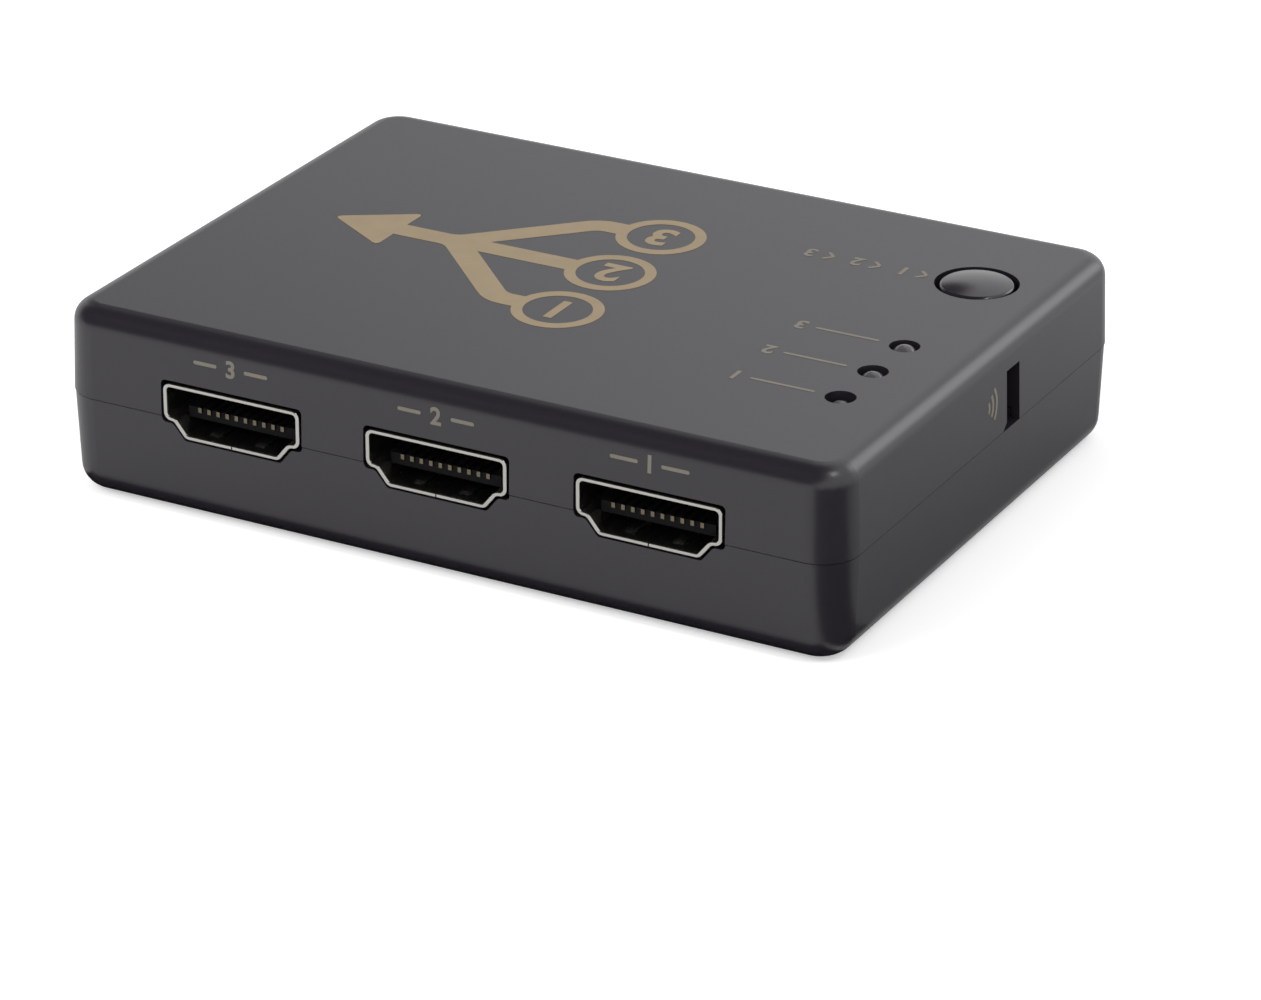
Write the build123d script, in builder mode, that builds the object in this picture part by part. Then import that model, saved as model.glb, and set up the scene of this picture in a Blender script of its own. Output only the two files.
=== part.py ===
from build123d import *
import math
import os
from typing import Callable, NamedTuple

os.makedirs("parts", exist_ok=True)

# A video switch box: three sockets on the front, one output and a power socket on the back,
# a select button and three lamps on top, and an infrared receiver behind a slot on the right.
# Millimetres. X runs to the right along the front, Y towards the back and Z up.
# The origin is the middle of the flat base.

# Case, measured at the seam between its halves, where the mould draft leaves it widest
case_length = 82.0
case_width = 60.0
case_height = 19.0
seam_height = 10.0
seam_step = 0.08
seam_chamfer = 0.12
mould_draft = 2.0
corner_radius = 3.8
top_edge_radius = 2.0
bottom_edge_radius = 2.5
wall = 1.8
roof = 1.8
floor = 1.8
lip_thickness = 0.8
lip_height = 1.0
lip_clearance = 0.1
overrun = 1.0

# Circuit board, held between the bosses of the two halves
board_thickness = 1.6
board_standoff = 4.85
board_gap = 0.4
board_corner_radius = 1.6
board_hole_clearance = 0.15
clamp_gap = 0.05
lead_stub = 1.0

# Case screws, driven up from below through the board
screw_inset = 5.6
screw_radius = 1.2
screw_grip = 5.0
screw_tip = 0.5
screw_head_radius = 2.2
screw_head_height = 1.5
screw_head_rounding = 0.6
screw_head_sink = 0.9
screw_clearance = 0.3
recess_length = 2.4
recess_width = 0.6
recess_depth = 0.8
pilot_clearance = 0.02
pilot_spare = 0.8
boss_radius = 3.1

# Socket shells, folded from sheet with a lip turned out round the mouth
socket_sheet = 0.3
socket_lip = 0.1
socket_lip_depth = 0.6
socket_edge_rounding = 0.1
socket_joint = 0.12
socket_window_clearance = 0.25
window_corner_radius = 0.5
leg_width = 1.0
insulator_clearance = 0.03
insulator_setback = 0.2
contact_width = 0.36
contact_thickness = 0.15
contact_stand = 0.05
contact_tip = 0.3
contact_wrap = 0.5
contact_drop = 0.25
contact_foot = 0.9

# Video sockets
video_opening_width = 14.0
video_opening_height = 4.55
video_side_height = 3.0
video_shoulder = 0.85
video_floor_width = 9.8
video_corner_radius = 0.4
video_blend_share = 0.97
video_depth = 11.0
video_well = 8.4
video_tongue_setback = 1.9
video_tongue_width = 11.6
video_tongue_thickness = 1.1
video_tongue_drop = 2.9
video_contact_pitch = 1.0
video_upper_contacts = 10
video_lower_contacts = 9
video_leg_depths = (3.8, 9.2)
port_pitch_share = 0.678
output_x = 6.0
spring_spacing = 4.9
spring_width = 1.0
spring_length = 3.2
spring_depth = 1.0
spring_rise = 0.35
spring_gap = 0.25

# Power socket
power_x = -14.0
power_opening_width = 6.9
power_opening_height = 1.85
power_side_height = 1.1
power_floor_width = 5.4
power_corner_radius = 0.3
power_depth = 5.2
power_well = 3.9
power_tongue_setback = 0.7
power_tongue_width = 3.7
power_tongue_thickness = 0.5
power_tongue_drop = 0.75
power_contact_pitch = 0.65
power_contacts = 5
power_leg_depths = (4.1,)

# Select button and the tact switch under it
button_side_inset = 8.5
button_back_inset = 14.4
button_hole_radius = 4.05
button_gap = 0.45
button_edge_drop = 0.05
button_crown = 0.4
button_edge_rounding = 0.35
button_cap_thickness = 1.2
button_cap_wall = 1.0
button_flange_reach = 0.6
button_flange_thickness = 0.8
button_play = 0.12
button_stem_radius = 1.5
switch_side = 6.0
switch_height = 5.0
switch_body_height = 3.1
switch_plate_thickness = 0.3
switch_corner_radius = 0.4
switch_chamber_radius = 2.45
switch_chamber_floor = 1.3
plunger_radius = 1.7
plunger_clearance = 0.08
plunger_collar_radius = 2.25
plunger_play = 0.05
dome_radius = 2.2
dome_rise = 0.45
dome_thickness = 0.08
dome_gap = 0.02
terminal_spacing = 4.5
terminal_width = 0.7
terminal_thickness = 0.3
terminal_height = 1.0
terminal_run = 0.3

# Lamps under their holes in the roof, the front one deepest and the back one a little proud
led_side_inset = 7.95
led_place_shares = (-0.48, -0.26, -0.04)
led_hole_radius = 1.45
led_radius = 1.3
led_flange_radius = 1.6
led_flange_height = 1.0
led_length = 5.3
led_sinks = (0.4, 0.05, -0.1)
led_lead_side = 0.5
led_lead_spacing = 2.54

# Infrared receiver behind its slot
ir_place_share = 0.4
ir_slot_width = 2.8
ir_slot_drop = 3.1
ir_slot_flare = 0.9
ir_slot_flare_height = 0.8
ir_wall_gap = 0.6
ir_lens_radius = 2.3
ir_body_width = 6.4
ir_body_thickness = 3.0
ir_lift = 1.2
ir_headroom = 0.75
ir_lead_side = 0.5
ir_lead_pitch = 2.54

# Parts soldered on the board, placed by shares of the board's half length and half width
package_lift = 0.1
package_chamfer = 0.15
package_lead_thickness = 0.15
package_lead_run = 0.3
package_lead_foot = 0.6
pin_mark_inset = 1.2
pin_mark_radius = 0.4
pin_mark_depth = 0.1
switch_chip_side = 10.0
switch_chip_height = 1.4
switch_chip_lead_pitch = 0.5
switch_chip_lead_width = 0.22
switch_chip_lead_count = 16
switch_chip_place_shares = (0.0, -0.06)
controller_length = 9.9
controller_width = 3.9
controller_height = 1.5
controller_lead_pitch = 1.27
controller_lead_width = 0.42
controller_lead_count = 8
controller_place_shares = (0.44, 0.27)
regulator_length = 6.5
regulator_width = 3.5
regulator_height = 1.6
regulator_lead_pitch = 2.3
regulator_lead_width = 0.72
regulator_tab_width = 3.0
regulator_lead_thickness = 0.26
regulator_lead_count = 3
regulator_place_shares = (-0.56, 0.5)
crystal_length = 11.0
crystal_width = 4.6
crystal_height = 3.4
crystal_rim = 0.4
crystal_rim_height = 0.6
crystal_place_shares = (0.45, -0.12)
can_radius = 2.5
can_height = 5.2
can_base_side = 5.6
can_base_height = 0.8
can_base_chamfer = 1.2
can_edge_rounding = 0.4
can_place_shares = (-0.74, 0.1)
chip_part_length = 1.6
chip_part_width = 0.8
ceramic_height = 0.8
ceramic_spacing = 3.0
ceramic_count = 6
ceramic_row_shares = (-0.38, 0.3)
resistor_height = 0.45
resistor_spacing = 2.4
resistor_column_count = 2
resistor_row_count = 4
resistor_place_shares = (-0.36, -0.05)
protection_length = 2.5
protection_width = 1.2
protection_height = 0.55
protection_spacing = 4.0
protection_gap = 1.2

# Heights and planes that the pieces share
board_underside = floor + board_standoff
board_top = board_underside + board_thickness
roof_underside = case_height - roof
inner_length = case_length - 2 * wall
inner_width = case_width - 2 * wall
inner_corner_radius = corner_radius - wall
board_length = inner_length - 2 * board_gap
board_width = inner_width - 2 * board_gap
screw_seat = screw_head_sink + screw_head_height
lead_low = -(board_thickness + lead_stub)
upward_seam = Plane.XY.offset(seam_height)
downward_seam = Plane(origin=(0, 0, seam_height), x_dir=(1, 0, 0), z_dir=(0, 0, -1))
board_plane = Plane.XY.offset(board_top)
screw_points = [
    (across * (case_length / 2 - screw_inset), along * (case_width / 2 - screw_inset))
    for across in (-1, 1)
    for along in (-1, 1)
]
button_x = case_length / 2 - button_side_inset
button_y = case_width / 2 - button_back_inset
led_x = case_length / 2 - led_side_inset
led_points = [(led_x, share * case_width / 2) for share in led_place_shares]
port_pitch = port_pitch_share * (case_length / 2 - screw_inset - boss_radius)
ir_room_start = led_points[-1][1] + led_flange_radius
ir_room = button_y - switch_side / 2 - ir_room_start
ir_y = ir_room_start + ir_body_width / 2 + ir_place_share * (ir_room - ir_body_width)
ir_face_x = case_length / 2 - wall - ir_wall_gap - ir_lens_radius
ir_back_x = ir_face_x - ir_body_thickness
ir_base = board_top + ir_lift
ir_top = roof_underside - ir_headroom
ir_slot_top = case_height - ir_slot_drop


def finish(piece, name):
    """Label one finished piece and write it to its own file."""
    piece.part.label = name
    export_step(piece.part, f"parts/{name}.step")


def board_point(shares):
    """The place on top of the board that two shares of its half sizes give."""
    return Vector(shares[0] * board_length / 2, shares[1] * board_width / 2, board_top)


def spread(count, pitch):
    """Places at an even pitch, centred on zero."""
    return [(number - (count - 1) / 2) * pitch for number in range(count)]


def mirrored_outline(half, radii):
    """A closed outline whose left half mirrors its right half, with rounded corners."""
    mirrored = [(-across, up) for across, up in reversed(half)]
    with BuildSketch(mode=Mode.PRIVATE) as outline:
        with BuildLine():
            FilletPolyline(*half, *mirrored, radius=radii + radii[::-1], close=True)
        make_face()
    return outline.sketch


def video_outline(grow=0, rounding=None):
    """A video socket's opening above the board, wide side up, grown all round."""
    low = socket_sheet
    high = low + video_opening_height
    shoulder = high - video_side_height
    side = video_opening_width / 2
    step = side - video_shoulder
    turn = math.atan2(shoulder - low, step - video_floor_width / 2)
    slip = math.tan(turn / 2)
    blend = video_blend_share * (video_shoulder - video_corner_radius) / slip
    corner = rounding or video_corner_radius + grow
    hollow = rounding or blend - grow
    half = [
        (video_floor_width / 2 + grow * slip, low - grow),
        (step + grow * slip, shoulder - grow),
        (side + grow, shoulder - grow),
        (side + grow, high + grow),
    ]
    return mirrored_outline(half, [corner, hollow, corner, corner])


def power_outline(grow=0, rounding=None):
    """The power socket's opening above the board, wide side up, grown all round."""
    low = socket_sheet
    high = low + power_opening_height
    bend = high - power_side_height
    side = power_opening_width / 2
    turn = math.atan2(bend - low, side - power_floor_width / 2)
    corner = rounding or power_corner_radius + grow
    half = [
        (power_floor_width / 2 + grow * math.tan(turn / 2), low - grow),
        (side + grow, bend - grow * math.tan((math.pi / 2 - turn) / 2)),
        (side + grow, high + grow),
    ]
    return mirrored_outline(half, [corner, corner, corner])


class SocketForm(NamedTuple):
    """The sizes that set one kind of socket apart from another."""

    outline: Callable
    opening_width: float
    opening_height: float
    side_height: float
    depth: float
    well: float
    tongue_setback: float
    tongue_width: float
    tongue_thickness: float
    tongue_drop: float
    contact_pitch: float
    upper_contacts: int
    lower_contacts: int
    leg_depths: tuple
    spring_places: tuple


video_form = SocketForm(
    outline=video_outline,
    opening_width=video_opening_width,
    opening_height=video_opening_height,
    side_height=video_side_height,
    depth=video_depth,
    well=video_well,
    tongue_setback=video_tongue_setback,
    tongue_width=video_tongue_width,
    tongue_thickness=video_tongue_thickness,
    tongue_drop=video_tongue_drop,
    contact_pitch=video_contact_pitch,
    upper_contacts=video_upper_contacts,
    lower_contacts=video_lower_contacts,
    leg_depths=video_leg_depths,
    spring_places=tuple(spread(2, spring_spacing)),
)
power_form = SocketForm(
    outline=power_outline,
    opening_width=power_opening_width,
    opening_height=power_opening_height,
    side_height=power_side_height,
    depth=power_depth,
    well=power_well,
    tongue_setback=power_tongue_setback,
    tongue_width=power_tongue_width,
    tongue_thickness=power_tongue_thickness,
    tongue_drop=power_tongue_drop,
    contact_pitch=power_contact_pitch,
    upper_contacts=0,
    lower_contacts=power_contacts,
    leg_depths=power_leg_depths,
    spring_places=(),
)


class Port(NamedTuple):
    """One socket and where it stands: side is -1 on the front and 1 on the back."""

    name: str
    form: SocketForm
    x: float
    side: int

    def mouth(self):
        """The plane of the socket's mouth, facing out, with its origin level with the board."""
        return Plane(
            origin=(self.x, self.side * case_width / 2, board_top),
            x_dir=(-self.side, 0, 0),
            z_dir=(0, self.side, 0),
        )


ports = [
    Port("input_1", video_form, port_pitch, -1),
    Port("input_2", video_form, 0, -1),
    Port("input_3", video_form, -port_pitch, -1),
    Port("output", video_form, output_x, 1),
    Port("power_port", power_form, power_x, 1),
]


# A socket is drawn at its mouth, with x across, y up from the board and z out of the case.
# On the side plane x runs into the case, and on the deck plane y does.
side_plane = Plane(origin=(0, 0, 0), x_dir=(0, 0, -1), z_dir=(1, 0, 0))
deck_plane = Plane(origin=(0, 0, 0), x_dir=(1, 0, 0), z_dir=(0, 1, 0))


def leg_places(form):
    """Where a socket's legs stand on its deck plane, in line with the shell's side walls."""
    reach = form.opening_width / 2 + socket_sheet / 2
    return [(side * reach, depth) for side in (-1, 1) for depth in form.leg_depths]


class ContactRow(NamedTuple):
    """One row of contacts: its upper faces' level, its ends' depth and turn, and its places across."""

    top: float
    start: float
    wrap: float
    places: list


def contact_rows(form):
    """The rows on a socket's tongue; the upper strips turn down over its front."""
    middle = socket_sheet + form.opening_height - form.tongue_drop
    upper = ContactRow(
        top=middle + form.tongue_thickness / 2 + contact_stand,
        start=form.tongue_setback - insulator_clearance - contact_thickness,
        wrap=contact_wrap,
        places=spread(form.upper_contacts, form.contact_pitch),
    )
    lower = ContactRow(
        top=middle - form.tongue_thickness / 2 - contact_stand + contact_thickness,
        start=form.tongue_setback + contact_tip,
        wrap=contact_thickness,
        places=spread(form.lower_contacts, form.contact_pitch),
    )
    return [row for row in (upper, lower) if row.places]


def lead_outline(run, top, bottom, foot, thickness):
    """A sheet lead from the side: level run, drop and foot, starting at zero."""
    with BuildSketch(mode=Mode.PRIVATE) as outline:
        with Locations((0, top)):
            Rectangle(run + thickness, thickness, align=(Align.MIN, Align.MAX))
        with Locations((run, top)):
            Rectangle(thickness, top - bottom, align=(Align.MIN, Align.MAX))
        if foot:
            with Locations((run, bottom)):
                Rectangle(foot, thickness, align=(Align.MIN, Align.MIN))
    return outline.sketch


def build_shell(form):
    """The folded-sheet shell of a socket, with its lip, joint, spring fingers and legs."""
    leg_root = socket_sheet + form.opening_height - form.side_height / 2
    with BuildPart() as shell:
        with BuildSketch():
            add(form.outline(socket_sheet))
        extrude(amount=-form.depth)
        with BuildSketch():
            add(form.outline(socket_sheet + socket_lip))
        extrude(amount=-socket_lip_depth)
        with BuildSketch():
            add(form.outline())
        extrude(amount=-form.depth, mode=Mode.SUBTRACT)
        fillet(shell.edges().group_by(Axis.Z)[-1], socket_edge_rounding)
        with BuildSketch(deck_plane):
            with Locations((0, form.depth / 2)):
                Rectangle(socket_joint, form.depth + overrun)
        extrude(amount=socket_sheet + overrun, both=True, mode=Mode.SUBTRACT)
        with BuildSketch(deck_plane.offset(lead_low)):
            with Locations(*leg_places(form)):
                Rectangle(socket_sheet, leg_width)
        extrude(amount=leg_root - lead_low)
        for place in form.spring_places:
            with BuildSketch(deck_plane):
                with Locations((place, spring_depth + spring_length / 2)):
                    Rectangle(spring_width + 2 * spring_gap, spring_length)
            extrude(amount=socket_sheet, mode=Mode.SUBTRACT)
            with BuildSketch(side_plane.offset(place)):
                add(spring_outline())
            extrude(amount=spring_width / 2, both=True)
    return shell


def spring_outline():
    """A spring finger from the side: a strip of the floor that arches into the opening."""
    end = spring_depth + spring_length
    middle = spring_depth + spring_length / 2
    with BuildSketch(mode=Mode.PRIVATE) as outline:
        with BuildLine():
            ThreePointArc((spring_depth, 0), (middle, spring_rise), (end, 0))
            Line((end, 0), (end, socket_sheet))
            ThreePointArc(
                (end, socket_sheet), (middle, socket_sheet + spring_rise), (spring_depth, socket_sheet)
            )
            Line((spring_depth, socket_sheet), (spring_depth, 0))
        make_face()
    return outline.sketch


def build_insulator(form):
    """The moulded insert: a block across the shell's back and the tongue with its slots."""
    middle = socket_sheet + form.opening_height - form.tongue_drop
    back = form.depth - insulator_setback
    slot_width = contact_width + 2 * insulator_clearance
    slot_height = contact_thickness + 2 * insulator_clearance
    with BuildPart() as insulator:
        with BuildSketch(Plane.XY.offset(-form.well)):
            add(form.outline(-insulator_clearance))
        extrude(amount=form.well - back)
        with BuildSketch(Plane.XY.offset(-form.tongue_setback)):
            with Locations((0, middle)):
                Rectangle(form.tongue_width, form.tongue_thickness)
        extrude(amount=form.tongue_setback - form.well)
        for row in contact_rows(form):
            slot_start = row.start - insulator_clearance
            with BuildSketch(Plane.XY.offset(-slot_start)):
                with Locations(*[(place, row.top + insulator_clearance) for place in row.places]):
                    Rectangle(slot_width, slot_height, align=(Align.CENTER, Align.MAX))
            extrude(amount=slot_start - back, mode=Mode.SUBTRACT)
    return insulator


def build_contacts(form):
    """The contact strips, each along the tongue, through the block and down to the board."""
    with BuildPart() as contacts:
        for row in contact_rows(form):
            run = form.depth + contact_drop - row.start
            with BuildSketch(*[side_plane.offset(place - contact_width / 2) for place in row.places]):
                with Locations((row.start, 0)):
                    add(lead_outline(run, row.top, 0, contact_foot, contact_thickness))
                with Locations((row.start, row.top)):
                    Rectangle(contact_thickness, row.wrap, align=(Align.MIN, Align.MAX))
            extrude(amount=contact_width)
    return contacts


def build_package(corner, size, lift):
    """A moulded chip body over the board, with bevelled upper edges and a first-pin mark."""
    length, width, height = size
    with BuildPart() as package:
        with BuildSketch(Plane(corner).offset(lift)):
            Rectangle(length, width)
        extrude(amount=height)
        chamfer(package.edges().group_by(Axis.Z)[-1], package_chamfer)
        with BuildSketch(Plane(corner).offset(lift + height)):
            with Locations((pin_mark_inset - length / 2, pin_mark_inset - width / 2)):
                Circle(pin_mark_radius)
        extrude(amount=-pin_mark_depth, mode=Mode.SUBTRACT)
    return package


def lead_planes(centre, reach, places, angle):
    """Upright planes along one side of a package, each with its x pointing out of it."""
    out = Vector(1, 0, 0).rotate(Axis.Z, angle)
    along = Vector(0, 1, 0).rotate(Axis.Z, angle)
    return [
        Plane(origin=centre + out * reach + along * place, x_dir=out, z_dir=out.cross(Vector(0, 0, 1)))
        for place in places
    ]


def build_leads(planes, outline, width):
    """Sheet leads of one outline, one on each plane."""
    with BuildPart() as leads:
        with BuildSketch(*[plane.offset(-width / 2) for plane in planes]):
            add(outline)
        extrude(amount=width)
    return leads


def build_blocks(places, size):
    """Small plain parts that stand on the board, one at each place."""
    length, width, height = size
    with BuildPart() as blocks:
        with BuildSketch(board_plane):
            with Locations(*places):
                Rectangle(length, width)
        extrude(amount=height)
    return blocks


def window_outline(port):
    """The outline of the upper half's window round a socket, from the seam up."""
    grow = socket_sheet + socket_lip + socket_window_clearance
    low = seam_height - board_top
    high = socket_sheet + port.form.opening_height + grow
    with BuildSketch(mode=Mode.PRIVATE) as window:
        with Locations((0, low)):
            Rectangle(port.form.opening_width + 2 * grow, high - low, align=(Align.CENTER, Align.MIN))
        fillet(window.vertices().group_by(Axis.Y)[-1], window_corner_radius)
    return window.sketch


def lip_outline(grow):
    """The case's inner outline at the seam, grown all round into the wall."""
    with BuildSketch(mode=Mode.PRIVATE) as outline:
        RectangleRounded(inner_length + 2 * grow, inner_width + 2 * grow, inner_corner_radius + grow)
    return outline.sketch


def slot_outline():
    """The infrared slot from the seam up, flared at the seam towards the front."""
    half = ir_slot_width / 2
    with BuildSketch(mode=Mode.PRIVATE) as slot:
        with BuildLine():
            Polyline(
                (half, 0),
                (half, ir_slot_top - seam_height),
                (-half, ir_slot_top - seam_height),
                (-half, ir_slot_flare_height),
                (-half - ir_slot_flare, 0),
                close=True,
            )
        make_face()
    return slot.sketch


right_wall_plane = Plane(origin=(case_length / 2, ir_y, seam_height), x_dir=(0, 1, 0), z_dir=(1, 0, 0))
cut_depth = wall + overrun

# Upper half of the case
with BuildPart() as top_cover:
    with BuildSketch(upward_seam):
        RectangleRounded(case_length, case_width, corner_radius)
    extrude(amount=case_height - seam_height, taper=mould_draft)
    fillet(top_cover.edges().group_by(Axis.Z)[-1], top_edge_radius)
    chamfer(top_cover.edges().group_by(Axis.Z)[0], seam_chamfer)
    with BuildSketch(upward_seam):
        RectangleRounded(inner_length, inner_width, inner_corner_radius)
    extrude(amount=roof_underside - seam_height, taper=mould_draft, mode=Mode.SUBTRACT)
    with BuildSketch(upward_seam):
        add(lip_outline(lip_thickness + lip_clearance))
    extrude(amount=lip_height + lip_clearance, mode=Mode.SUBTRACT)
    with BuildSketch(board_plane.offset(clamp_gap)):
        with Locations(*screw_points):
            Circle(boss_radius)
    extrude(amount=case_height - roof / 2 - board_top - clamp_gap)
    with BuildSketch(Plane.XY.offset(screw_seat)):
        with Locations(*screw_points):
            Circle(screw_radius + pilot_clearance)
    extrude(amount=board_top + screw_grip + pilot_spare - screw_seat, mode=Mode.SUBTRACT)
    for port in ports:
        with BuildSketch(port.mouth()):
            add(window_outline(port))
        extrude(amount=-cut_depth, mode=Mode.SUBTRACT)
    with BuildSketch(right_wall_plane):
        add(slot_outline())
    extrude(amount=-cut_depth, mode=Mode.SUBTRACT)
    with BuildSketch(Plane.XY.offset(case_height)):
        with Locations((button_x, button_y)):
            Circle(button_hole_radius)
        with Locations(*led_points):
            Circle(led_hole_radius)
    extrude(amount=-roof, mode=Mode.SUBTRACT)
finish(top_cover, "top_cover")

# Lower half, a little smaller at the seam, with a lip that stands inside the upper half
with BuildPart() as bottom_cover:
    with BuildSketch(downward_seam):
        RectangleRounded(case_length - 2 * seam_step, case_width - 2 * seam_step, corner_radius - seam_step)
    extrude(amount=seam_height, taper=mould_draft)
    fillet(bottom_cover.edges().group_by(Axis.Z)[0], bottom_edge_radius)
    with BuildSketch(upward_seam):
        add(lip_outline(lip_thickness))
        RectangleRounded(inner_length, inner_width, inner_corner_radius, mode=Mode.SUBTRACT)
    extrude(amount=lip_height)
    with BuildSketch(downward_seam):
        RectangleRounded(inner_length, inner_width, inner_corner_radius)
    extrude(amount=seam_height - floor, taper=mould_draft, mode=Mode.SUBTRACT)
    with BuildSketch(Plane.XY.offset(floor)):
        with Locations(*screw_points):
            Circle(boss_radius)
    extrude(amount=board_standoff)
    with Locations(*[Plane(origin=(x, y, 0), z_dir=(0, 0, -1)) for x, y in screw_points]):
        CounterBoreHole(
            screw_radius + screw_clearance, screw_head_radius + screw_clearance, screw_seat, board_underside
        )
    for port in ports:
        grow = socket_sheet + socket_lip + socket_window_clearance
        with BuildSketch(port.mouth()):
            add(port.form.outline(grow, window_corner_radius))
            add(window_outline(port))
        extrude(amount=-cut_depth, mode=Mode.SUBTRACT)
    with BuildSketch(right_wall_plane):
        add(slot_outline())
    extrude(amount=-cut_depth, mode=Mode.SUBTRACT)
finish(bottom_cover, "bottom_cover")

# One self-tapping screw, repeated at the four bosses
screw_end = board_top + screw_grip
with BuildPart() as screw:
    with BuildSketch(Plane.XY.offset(screw_head_sink)):
        Circle(screw_head_radius)
    extrude(amount=screw_head_height)
    fillet(screw.edges().group_by(Axis.Z)[0], screw_head_rounding)
    with BuildSketch(Plane.XY.offset(screw_seat)):
        Circle(screw_radius)
    extrude(amount=screw_end - screw_seat)
    chamfer(screw.edges().group_by(Axis.Z)[-1], screw_tip)
    with BuildSketch(Plane.XY.offset(screw_head_sink)):
        Rectangle(recess_length, recess_width)
        Rectangle(recess_width, recess_length)
    extrude(amount=recess_depth, mode=Mode.SUBTRACT)
with BuildPart() as case_screws:
    with Locations(*screw_points):
        add(screw.part)
finish(case_screws, "case_screws")

# Sockets, each kind drawn once and set at its mouths
socket_pieces = {
    form: {
        "shell": build_shell(form),
        "insulator": build_insulator(form),
        "contacts": build_contacts(form),
    }
    for form in (video_form, power_form)
}
for port in ports:
    for kind, drawn in socket_pieces[port.form].items():
        with BuildPart() as placed:
            with Locations(port.mouth()):
                add(drawn.part)
        finish(placed, f"{port.name}_{kind}")

# Select button: a hollow domed cap with a flange that the roof holds down, and a stem
button_edge = case_height - button_edge_drop
cap_radius = button_hole_radius - button_gap
flange_radius = button_hole_radius + button_flange_reach
flange_top = roof_underside - button_play
flange_bottom = flange_top - button_flange_thickness
cap_ceiling = button_edge - button_cap_thickness
stem_bottom = board_top + switch_height
button_axis = Axis((button_x, button_y, 0), (0, 0, 1))
with BuildPart() as select_button:
    with BuildSketch(Plane(origin=(button_x, button_y, 0), x_dir=(1, 0, 0), z_dir=(0, -1, 0))):
        with BuildLine():
            TangentArc((0, button_edge + button_crown), (cap_radius, button_edge), tangent=(1, 0))
            Polyline(
                (cap_radius, button_edge),
                (cap_radius, flange_top),
                (flange_radius, flange_top),
                (flange_radius, flange_bottom),
                (cap_radius - button_cap_wall, flange_bottom),
                (cap_radius - button_cap_wall, cap_ceiling),
                (button_stem_radius, cap_ceiling),
                (button_stem_radius, stem_bottom),
                (0, stem_bottom),
                (0, button_edge + button_crown),
            )
        make_face()
    revolve(axis=button_axis)
    rims = select_button.edges().filter_by(lambda edge: edge.is_closed)
    fillet(rims.sort_by(Axis.Z)[-1], button_edge_rounding)
finish(select_button, "select_button")

# Tact switch, from the board up
switch_plane = Plane(origin=(button_x, button_y, board_top))
collar_bottom = switch_chamber_floor + dome_rise + dome_thickness + dome_gap
collar_top = switch_body_height - plunger_play
with BuildPart() as switch_body:
    with BuildSketch(switch_plane):
        RectangleRounded(switch_side, switch_side, switch_corner_radius)
    extrude(amount=switch_body_height)
    with BuildSketch(switch_plane.offset(switch_chamber_floor)):
        Circle(switch_chamber_radius)
    extrude(amount=switch_body_height - switch_chamber_floor, mode=Mode.SUBTRACT)
finish(switch_body, "switch_body")

with BuildPart() as switch_plate:
    with BuildSketch(switch_plane.offset(switch_body_height)):
        RectangleRounded(switch_side, switch_side, switch_corner_radius)
        Circle(plunger_radius + plunger_clearance, mode=Mode.SUBTRACT)
    extrude(amount=switch_plate_thickness)
finish(switch_plate, "switch_plate")

with BuildPart() as switch_plunger:
    with BuildSketch(switch_plane.offset(collar_bottom)):
        Circle(plunger_collar_radius)
    extrude(amount=collar_top - collar_bottom)
    with BuildSketch(switch_plane.offset(collar_bottom)):
        Circle(plunger_radius)
    extrude(amount=switch_height - collar_bottom)
finish(switch_plunger, "switch_plunger")

with BuildPart() as switch_dome:
    dome_base = board_top + switch_chamber_floor
    dome_top = dome_base + dome_rise
    with BuildSketch(Plane(origin=(button_x, button_y, 0), x_dir=(1, 0, 0), z_dir=(0, -1, 0))):
        with BuildLine():
            TangentArc((0, dome_top), (dome_radius, dome_base), tangent=(1, 0))
            Line((dome_radius, dome_base), (dome_radius, dome_base + dome_thickness))
            TangentArc(
                (0, dome_top + dome_thickness), (dome_radius, dome_base + dome_thickness), tangent=(1, 0)
            )
            Line((0, dome_top + dome_thickness), (0, dome_top))
        make_face()
    revolve(axis=button_axis)
finish(switch_dome, "switch_dome")

terminal_outline = lead_outline(terminal_run, terminal_height, lead_low, 0, terminal_thickness)
terminal_planes = [
    plane
    for angle in (0, 180)
    for plane in lead_planes(switch_plane.origin, switch_side / 2, spread(2, terminal_spacing), angle)
]
switch_terminals = build_leads(terminal_planes, terminal_outline, terminal_width)
finish(switch_terminals, "switch_terminals")

# Lamps, each with a flange, a round body and a domed end under its hole
led_tips = [case_height - sink for sink in led_sinks]
for number, (x, y) in enumerate(led_points, start=1):
    led_tip = led_tips[number - 1]
    led_base = led_tip - led_length
    with BuildPart() as led:
        with BuildSketch(Plane(origin=(x, y, led_base))):
            Circle(led_flange_radius)
        extrude(amount=led_flange_height)
        with BuildSketch(Plane(origin=(x, y, led_base))):
            Circle(led_radius)
        extrude(amount=led_length - led_radius)
        with Locations((x, y, led_tip - led_radius)):
            Sphere(led_radius)
    finish(led, f"led_{number}")

led_lead_points = [
    [(x + offset_x, y) for offset_x in spread(2, led_lead_spacing)]
    for x, y in led_points
]
with BuildPart() as led_leads:
    for led_tip, places in zip(led_tips, led_lead_points):
        with BuildSketch(board_plane.offset(lead_low)):
            with Locations(*places):
                Rectangle(led_lead_side, led_lead_side)
        extrude(amount=led_tip - led_length - board_top - lead_low)
finish(led_leads, "led_leads")

# Infrared receiver, a block with a round lens that faces the slot
with BuildPart() as ir_receiver:
    with BuildSketch(Plane(origin=((ir_back_x + ir_face_x) / 2, ir_y, ir_base))):
        Rectangle(ir_body_thickness, ir_body_width)
    extrude(amount=ir_top - ir_base)
    with Locations((ir_face_x, ir_y, (ir_slot_top + seam_height) / 2)):
        Sphere(ir_lens_radius)
finish(ir_receiver, "ir_receiver")

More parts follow.
